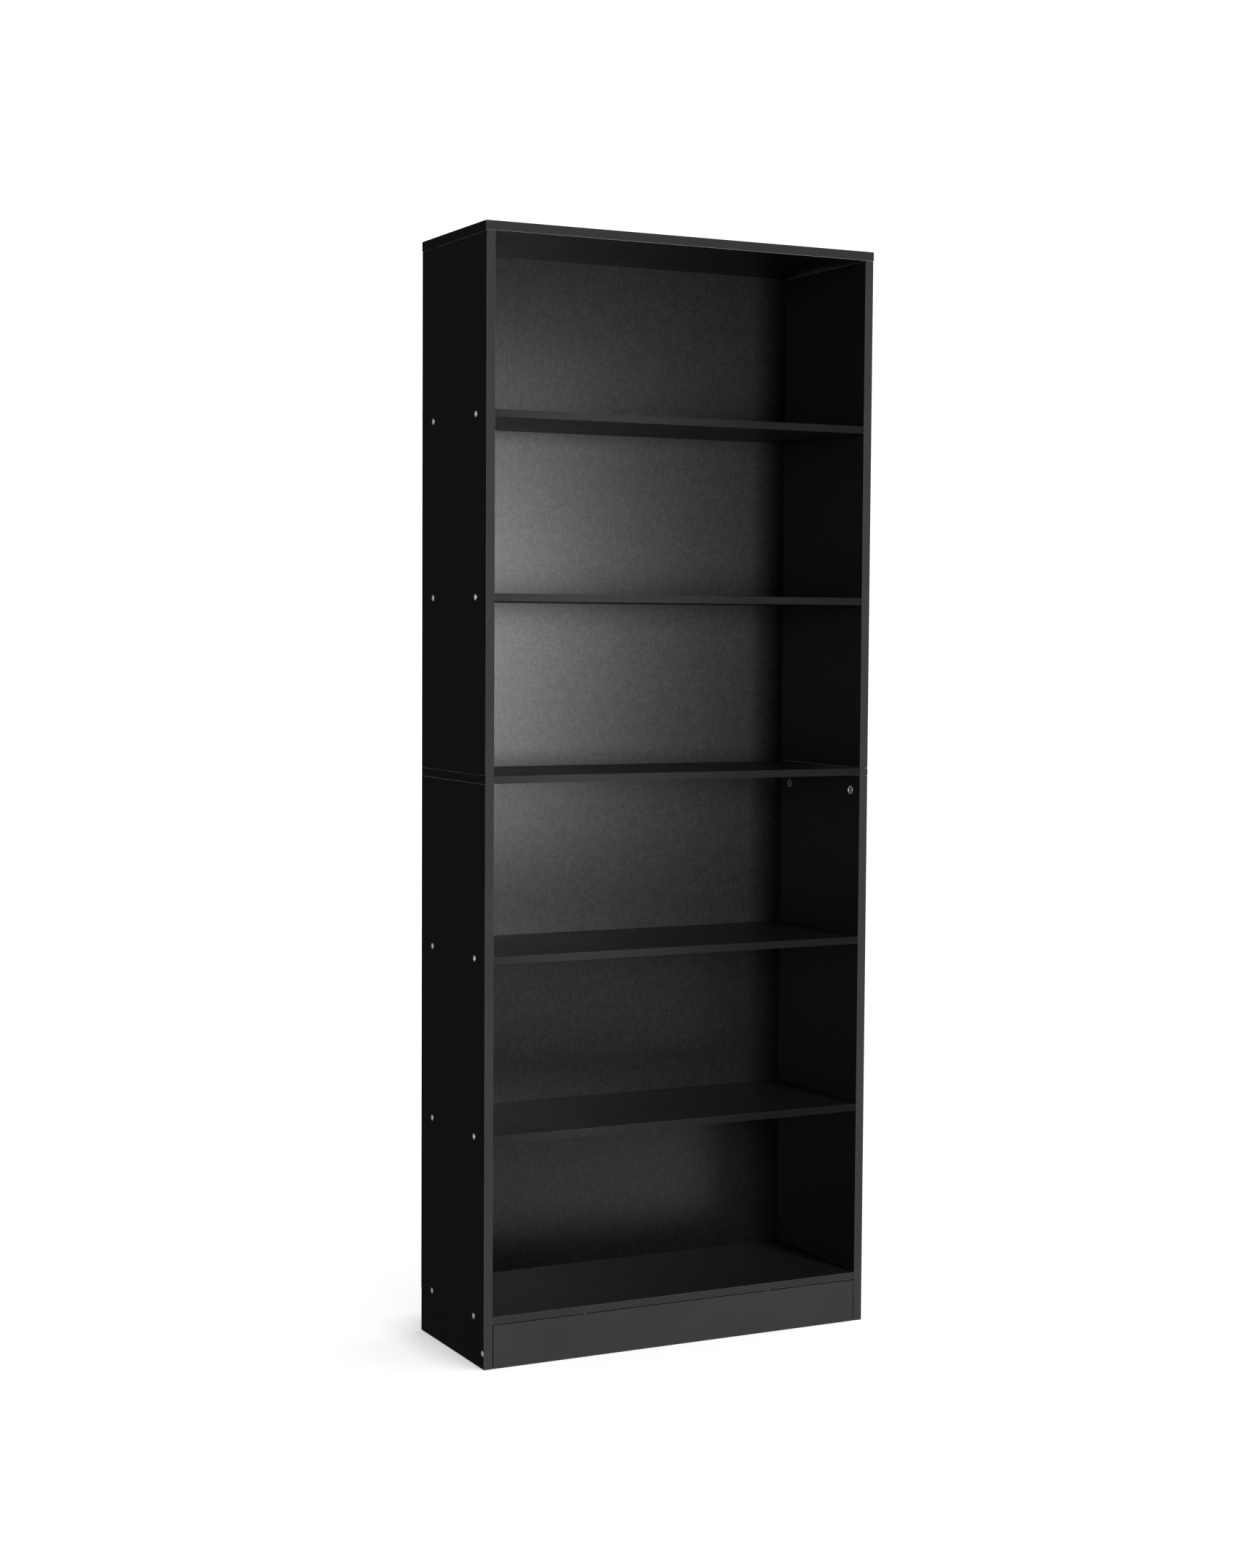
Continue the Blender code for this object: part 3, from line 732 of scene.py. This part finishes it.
def board_blocks(low, high, thickness_axis, bands, split=False):
    """The board as sawn, then its strips of banding. A split front strip stops at the case's sides."""
    axis = "xyz".index(thickness_axis)
    core_low, core_high = low.copy(), high.copy()
    for way in bands:
        end = max(range(3), key=lambda i: abs(way[i]))
        if way[end] < 0:
            core_low[end] += BAND + BAND_GAP
        else:
            core_high[end] -= BAND + BAND_GAP

    def core_round(*faces):
        if any(face.dot(way) > 0.5 for face in faces for way in bands):
            return SEAM_ROUND
        return RAW_ROUND if axis == 0 and any(abs(face.z) > 0.5 for face in faces) else BOARD_ROUND

    bm = bmesh.new()
    add_block(
        bm,
        core_low,
        core_high,
        lambda normal: MELAMINE if abs(normal[axis]) > 0.5 else RAW,
        core_round,
    )
    for way in bands:
        end = max(range(3), key=lambda i: abs(way[i]))
        band_low, band_high = low.copy(), high.copy()
        if way != FRONT:
            band_low.y = core_low.y
        elif split:
            band_low.x, band_high.x = -SIDE_INNER, SIDE_INNER
        if way[end] < 0:
            band_high[end] = low[end] + BAND
        else:
            band_low[end] = high[end] - BAND

        def band_round(*faces, way=way):
            if axis == 0 and any(abs(face.z) > 0.5 for face in faces):
                return SEAM_ROUND
            return BAND_ROUND if any(face.dot(way) > 0.5 for face in faces) else SEAM_ROUND

        add_block(
            bm,
            band_low,
            band_high,
            lambda normal, way=way: BANDING if way == FRONT else END_BANDING,
            band_round,
        )
    return mesh_from(bm, "board", smooth=False)


def rounded(mesh, name):
    """The mesh with its arrises rounded by their weights, and marked for wear and painted highlight."""
    obj = bpy.data.objects.new(name, mesh)
    bpy.context.scene.collection.objects.link(obj)
    bevel = obj.modifiers.new("arrises", "BEVEL")
    bevel.limit_method = "WEIGHT"
    bevel.width = RAW_ROUND
    bevel.segments = ROUND_SEGMENTS
    made = baked(obj)
    mark_arrises(made)
    return made


def wear_and_highlight_arrises(mesh, name):
    """Pale flaked board on the sawn ends of the sides, and a pale line of scuffed edging under the front of
    the top panel, both partly wear and partly painted highlight.
    """
    for face in mesh.polygons:
        # The plinth's sawn edges take the black edging in place of raw board, which paints shade into the
        # gaps round the plinth.
        if name == "plinth" and face.material_index == RAW:
            face.material_index = END_BANDING
        if lies_square(face):
            continue
        # The sides' sawn ends take pale flakes, partly wear and partly a painted highlight along those
        # arrises.
        if "side" in name and face.material_index in (MELAMINE, RAW) and abs(face.normal.z) > 0.1:
            face.material_index = CHIPPED_WITH_PAINTED_HIGHLIGHT
        # A pale line under the top panel's front edging, partly scuffing and partly a painted highlight.
        elif name == "top_panel" and face.material_index == BANDING and face.normal.z < -0.1:
            face.material_index = SCRAPED_WITH_PAINTED_HIGHLIGHT


def crosses(node, low, high):
    """Whether a fastener reaches into the box from low to high."""
    node_low, node_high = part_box(node)
    return all(node_low[i] < high[i] - SEAM and node_high[i] > low[i] + SEAM for i in range(3))


def cam_place(node):
    """Local +Z into the bay and local +Y up, on the lower side's inner face."""
    low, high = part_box(node)
    centre = (low + high) / 2
    into_bay = Vector((1, 0, 0)) if centre.x < 0 else Vector((-1, 0, 0))
    face = high.x if centre.x < 0 else low.x
    turn = Matrix((UP.cross(into_bay), UP, into_bay)).transposed().to_4x4()
    return Matrix.Translation((face, centre.y, centre.z)) @ turn


def standing(node, drop=0.0):
    """A placement over the node's middle, with the origin below its lower end by drop."""
    low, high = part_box(node)
    return Matrix.Translation(((low.x + high.x) / 2, (low.y + high.y) / 2, low.z - drop))


def length_of(node):
    low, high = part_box(node)
    return high.z - low.z


SCREWS = screw_places()
NODES = sorted(frame["nodes"])
BOLTS = {node: standing(node, BOLT_HEAD_START) for node in NODES if node.startswith("cam_bolt_")}
CAMS = {node: cam_place(node) for node in NODES if node.startswith("cam_") and node not in BOLTS}
DOWELS = {node: standing(node) for node in NODES if node.startswith("dowel_")}


def dowel_radius(node):
    return PLINTH_DOWEL_RADIUS if "plinth" in node else DOWEL_RADIUS


def all_holes():
    """(node, cutter, place) for each hole that a fastener sits in."""
    screw = turned_mesh("screw_hole", hole_rings(), slot=RAW)
    cam = turned_mesh("cam_bore", rod_rings(CAM_RADIUS + SEAM, -CAM_HEIGHT - SEAM, OVERSHOOT), slot=RAW)
    bolt = turned_mesh("bolt_hole", rod_rings(BOLT_SHANK_RADIUS + SEAM, 0, BOLT_TOP + SEAM), slot=RAW)
    holes = [(node, screw, place) for node, place in SCREWS.items()]
    holes += [(node, bolt, place) for node, place in BOLTS.items()]
    holes += [(node, cam, place) for node, place in CAMS.items()]
    for node, place in DOWELS.items():
        rings = rod_rings(dowel_radius(node) + SEAM, -SEAM, length_of(node) + SEAM)
        holes.append((node, turned_mesh("dowel_hole", rings, slot=RAW), place))
    return holes


def build_boards():
    holes = all_holes()
    for name, (axis, bands, finishes, group) in BOARDS.items():
        low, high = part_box(name)
        mesh = rounded(board_blocks(low, high, axis, bands, name == "middle_panel"), name)
        wear_and_highlight_arrises(mesh, name)
        cutters = [(cutter, place) for node, cutter, place in holes if crosses(node, low, high)]
        mesh = carve(mesh, name, cutters)
        shade(mesh)
        add_piece(f"{name}_board", mesh, finishes, group, node=name)


def build_middle_ends():
    """The front banding of the middle panel where it runs on over the sides."""
    low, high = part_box("middle_panel")
    inner = SIDE_INNER + BAND_GAP
    for side, start, end in (("left", low.x, -inner), ("right", inner, high.x)):
        bm = bmesh.new()
        add_block(
            bm,
            Vector((start, low.y, low.z)),
            Vector((end, low.y + BAND, high.z)),
            lambda normal: BANDING,
            lambda *faces: SEAM_ROUND,
        )
        mesh = rounded(mesh_from(bm, "band", smooth=False), "band")
        shade(mesh)
        add_piece(
            f"middle_panel_band_{side}",
            mesh,
            SIDE_FINISHES,
            "frame",
            body=BODY_OF["middle_panel"],
        )


def nail_places(name):
    """Down both edges of a back panel and along each board behind it, on the panel's rear face."""
    low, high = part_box(name)
    corner = 4 * NAIL_MARGIN
    points = []
    for side in ("left", "right"):
        x = middle_of(f"lower_side_{side}").x
        count = round((high.z - low.z) / NAIL_SPACING)
        step = (high.z - low.z - 2 * corner) / count
        points += [(x, low.z + corner + step * i) for i in range(count + 1)]
    for board in LEVEL_BOARDS:
        z = min(max(middle_of(board).z, low.z + NAIL_MARGIN), high.z - NAIL_MARGIN)
        if abs(z - middle_of(board).z) < 2 * NAIL_MARGIN:
            points += [(x * NAIL_SPACING, z) for x in (-2, -1, 0, 1, 2)]
    return [facing((0, 1, 0), (x, high.y, z)) for x, z in points]


def copies(source, places, name):
    """One mesh holding the source at each place."""
    bm = bmesh.new()
    for place in places:
        before = len(bm.verts)
        bm.from_mesh(source)
        bm.verts.ensure_lookup_table()
        bmesh.ops.transform(bm, matrix=place, verts=bm.verts[before:])
    return mesh_from(bm, name)


def build_backs():
    nail = turned_mesh("nail", nail_rings(), NAIL_STEPS)
    dimple = turned_mesh("dimple", dimple_rings(), NAIL_STEPS, slot=PANEL_REAR)
    finishes = ("panel_front", "panel_rear")
    for name in ("back_panel_upper", "back_panel_lower"):
        bm = bmesh.new()
        add_block(
            bm,
            *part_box(name),
            lambda normal: PANEL_FRONT if normal.y < -0.5 else PANEL_REAR,
            lambda *faces: BACK_ROUND,
        )
        places = nail_places(name)
        panel = rounded(mesh_from(bm, name, smooth=False), name)
        mesh = carve(panel, name, [(copies(dimple, places, "dimples"), Matrix())])
        shade(mesh)
        add_piece(f"{name}_board", mesh, finishes, "backs", node=name)
        nails = copies(nail, places, "nails")
        body = BODY_OF[name]
        add_piece(f"nails_{name}", nails, STEEL, "fasteners", body=body)


def build_fasteners():
    turn = pi / 3 / SOCKET_TURNS
    screws = [screw_mesh(turn * i) for i in range(SOCKET_TURNS)]
    bolt, cam = bolt_mesh(), cam_mesh()
    steel_pieces = []
    for i, (node, place) in enumerate(SCREWS.items()):
        steel_pieces.append((node, screws[(3 * i + i // 5) % SOCKET_TURNS], place))
    steel_pieces += [(node, bolt, place) for node, place in BOLTS.items()]
    for node, mesh, place in steel_pieces:
        add_piece(f"{node}_steel", mesh, STEEL, "fasteners", node, place)
    for node, place in CAMS.items():
        add_piece(f"{node}_cast", cam, ("cams", "cam_faces_painted_shade"), "cams", node, place)
    meshes = {}
    for node, place in DOWELS.items():
        radius = dowel_radius(node)
        if radius not in meshes:
            meshes[radius] = dowel_mesh("dowel", radius, length_of(node))
        add_piece(f"{node}_beech", meshes[radius], ("beech",), "fasteners", node, place)


# Studio


def link_to(light, groups):
    """Lets the light fall only on these groups of pieces."""
    receivers = bpy.data.collections.new(light.name)
    for group in groups:
        for piece in GROUPS[group].objects:
            receivers.objects.link(piece)
    light.light_linking.receiver_collection = receivers


def aim(obj, position, target):
    obj.location = position
    direction = Vector(target) - Vector(position)
    obj.rotation_mode = "QUATERNION"
    obj.rotation_quaternion = direction.to_track_quat("-Z", "Y")


def add_softbox(name, position, target, size, power, groups, spread=180.0):
    light = bpy.data.lights.new(name, "AREA")
    light.shape = "RECTANGLE"
    light.size, light.size_y = size
    light.energy = power
    light.spread = radians(spread)
    obj = bpy.data.objects.new(name, light)
    obj.visible_camera = False
    bpy.context.scene.collection.objects.link(obj)
    aim(obj, position, target)
    link_to(obj, groups)
    return obj


def add_sun(name, azimuth, elevation, angle, strength, groups):
    """Azimuth is to the right of straight in front, in degrees."""
    light = bpy.data.lights.new(name, "SUN")
    light.angle = radians(angle)
    light.energy = strength
    obj = bpy.data.objects.new(name, light)
    obj.visible_glossy = False
    bpy.context.scene.collection.objects.link(obj)
    a, e = radians(azimuth), radians(elevation)
    away = Vector((sin(a) * cos(e), -cos(a) * cos(e), sin(e)))
    aim(obj, away * 5, (0, 0, 0))
    link_to(obj, groups)


WHITE = (1.0, 1.0, 1.0, 1.0)
FLOOR_RADIUS = 2.3
FLOOR_SEGMENTS = 96
FLOOR_DROP = 0.0004  # below the feet, so that their faces don't meet
FLOOR_GREY = 0.5
FLOOR_GLOW = 0.32
CARD_SIZE = (3.0, 1.55)
CARD_MIDDLE = (1.2, -0.925, -0.002)
CARD_GLOW = 0.9
AMBIENT = 0.040
BACKDROP_GLOW = 1.2


def glowing_paper(name, grey, glow):
    """Matt paper that gives off some light of its own."""
    material, _, shader = finish_material(name, specular=0.0)
    shader.inputs["Base Color"].default_value = (grey, grey, grey, 1.0)
    shader.inputs["Roughness"].default_value = 1.0
    shader.inputs["Emission Color"].default_value = WHITE
    shader.inputs["Emission Strength"].default_value = glow
    return material


def build_floor():
    bm = bmesh.new()
    bmesh.ops.create_circle(bm, cap_ends=True, segments=FLOOR_SEGMENTS, radius=FLOOR_RADIUS)
    mesh = mesh_from(bm, "floor")
    dress(mesh, [glowing_paper("white_paper", FLOOR_GREY, FLOOR_GLOW)])
    floor = bpy.data.objects.new("floor", mesh)
    bpy.context.scene.collection.objects.link(floor)
    GROUPS["floor"].objects.link(floor)
    floor.location.z = -FLOOR_DROP
    floor.visible_diffuse = False
    floor.visible_glossy = False


def build_floor_card():
    """The white paper in front of the case, as the back panels mirror it."""
    bm = bmesh.new()
    bmesh.ops.create_grid(bm, x_segments=1, y_segments=1, size=0.5)
    bmesh.ops.scale(bm, vec=(*CARD_SIZE, 1.0), verts=bm.verts)
    bmesh.ops.translate(bm, vec=CARD_MIDDLE, verts=bm.verts)
    mesh = mesh_from(bm, "floor_card")
    dress(mesh, [glowing_paper("lit_paper", 0.0, CARD_GLOW)])
    card = bpy.data.objects.new("floor_card", mesh)
    bpy.context.scene.collection.objects.link(card)
    card.visible_camera = False
    card.visible_diffuse = False
    card.visible_shadow = False
    link_to(card, ("backs",))


def build_backdrop():
    """White where the camera sees past the floor, and a dim room for everything else."""
    world = bpy.data.worlds.new("studio")
    world.use_nodes = True
    nodes = Nodes(world.node_tree)
    out = world.node_tree.nodes["World Output"]
    dim = world.node_tree.nodes["Background"]
    dim.inputs["Color"].default_value = WHITE
    dim.inputs["Strength"].default_value = AMBIENT
    white = nodes.add("ShaderNodeBackground", {"Color": WHITE, "Strength": BACKDROP_GLOW})
    seen = nodes.add("ShaderNodeLightPath").outputs["Is Camera Ray"]
    both = nodes.add("ShaderNodeMixShader", {0: seen, 1: dim.outputs[0], 2: white.outputs[0]})
    nodes.tree.links.new(both.outputs[0], out.inputs["Surface"])
    bpy.context.scene.world = world


CASE_REAR = (0.0, 0.13, 0.9)
REAR_BOX = ((1.9, 2.8, 1.7), CASE_REAR, (1.4, 2.0))
RIGHT_BOX = ((3.2, 0.7, 1.5), (0.35, 0.1, 0.9), (1.2, 2.0))
# Each softbox: name, position, target, size, power, groups
SOFTBOXES = (
    ("fastener_light", (-2.6, -1.6, 1.3), (-0.3, 0, 1.0), (1.2, 1.6), 200.0, ("fasteners",)),
    ("left_softbox", (-1.8, -1.7, 0.8), CASE_REAR, (1.0, 1.4), 24.0, ("backs",)),
    ("rear_softbox", *REAR_BOX, 160.0, BOARD_GROUPS),
    ("rear_metal_light", *REAR_BOX, 55.0, METAL_GROUPS),
    ("right_softbox", *RIGHT_BOX, 55.0, BOARD_GROUPS),
    ("right_metal_light", *RIGHT_BOX, 35.0, METAL_GROUPS),
    ("top_softbox", (0.4, 0.5, 4.2), (0, 0, 1.8), (1.5, 1.5), 90.0, ("frame",)),
)
# Each sun: name, azimuth, elevation, angle, strength, groups
SUNS = (
    ("front_fill", 10.0, 6.0, 14.0, 7.0, ("frame",)),
    ("left_fill", -50.0, 3.0, 20.0, 0.35, ("frame", "shelves")),
    ("floor_light", 35.0, 52.0, 130.0, 3.9, ("floor",)),
    ("overhead_light", 18.0, 88.1, 3.5, 1.9, ("floor",)),
)


def build_lights():
    strip_groups = ("shelves", "backs", "fasteners", "cams")
    strip = (0.65, -2.37, 1.18)
    add_softbox("strip_softbox", strip, (strip[0], 0.13, strip[2]), (0.5, 1.04), 28.0, strip_groups)
    edge = (-0.2, -1.13, 1.0)
    edge_light = add_softbox(
        "edge_light", edge, (edge[0], 0.13, edge[2]), (0.03, 1.7), 2.8, ("shelves",), spread=40.0
    )
    edge_light.visible_glossy = False
    front_cam = middle_of("cam_front_right")
    lamp = (-0.2, -0.5, front_cam.z)
    face = (SIDE_INNER, front_cam.y, front_cam.z)
    add_softbox("cam_light", lamp, face, (0.1, 0.1), 0.15, ("cams",), spread=30.0)
    for softbox in SOFTBOXES:
        add_softbox(*softbox)
    for sun in SUNS:
        add_sun(*sun)


# The camera fitted to the photograph, with its axes in the world
CAMERA_PLACE = (-1.93833, -3.78328, 1.16899)
CAMERA_RIGHT = Vector((0.893487, -0.449046, 0.006162))
CAMERA_DOWN = Vector((-0.021383, -0.056244, -0.998188))
CAMERA_AHEAD = Vector((0.448579, 0.891737, -0.059855))
SENSOR_WIDTH = 36.0
FOCAL_LENGTH = 58.61
CLIP_START, CLIP_END = 0.05, 60.0


def build_camera():
    camera = bpy.data.objects.new("camera", bpy.data.cameras.new("camera"))
    camera.data.sensor_width = SENSOR_WIDTH
    camera.data.lens = FOCAL_LENGTH
    camera.data.clip_start = CLIP_START
    camera.data.clip_end = CLIP_END
    turn = Matrix((CAMERA_RIGHT, -CAMERA_DOWN, -CAMERA_AHEAD)).transposed().to_4x4()
    camera.matrix_world = Matrix.Translation(CAMERA_PLACE) @ turn
    bpy.context.scene.collection.objects.link(camera)
    bpy.context.scene.camera = camera


build_boards()
build_middle_ends()
build_backs()
build_fasteners()
build_floor()
build_floor_card()
build_backdrop()
build_lights()
build_camera()
bpy.context.scene.view_settings.view_transform = "Standard"
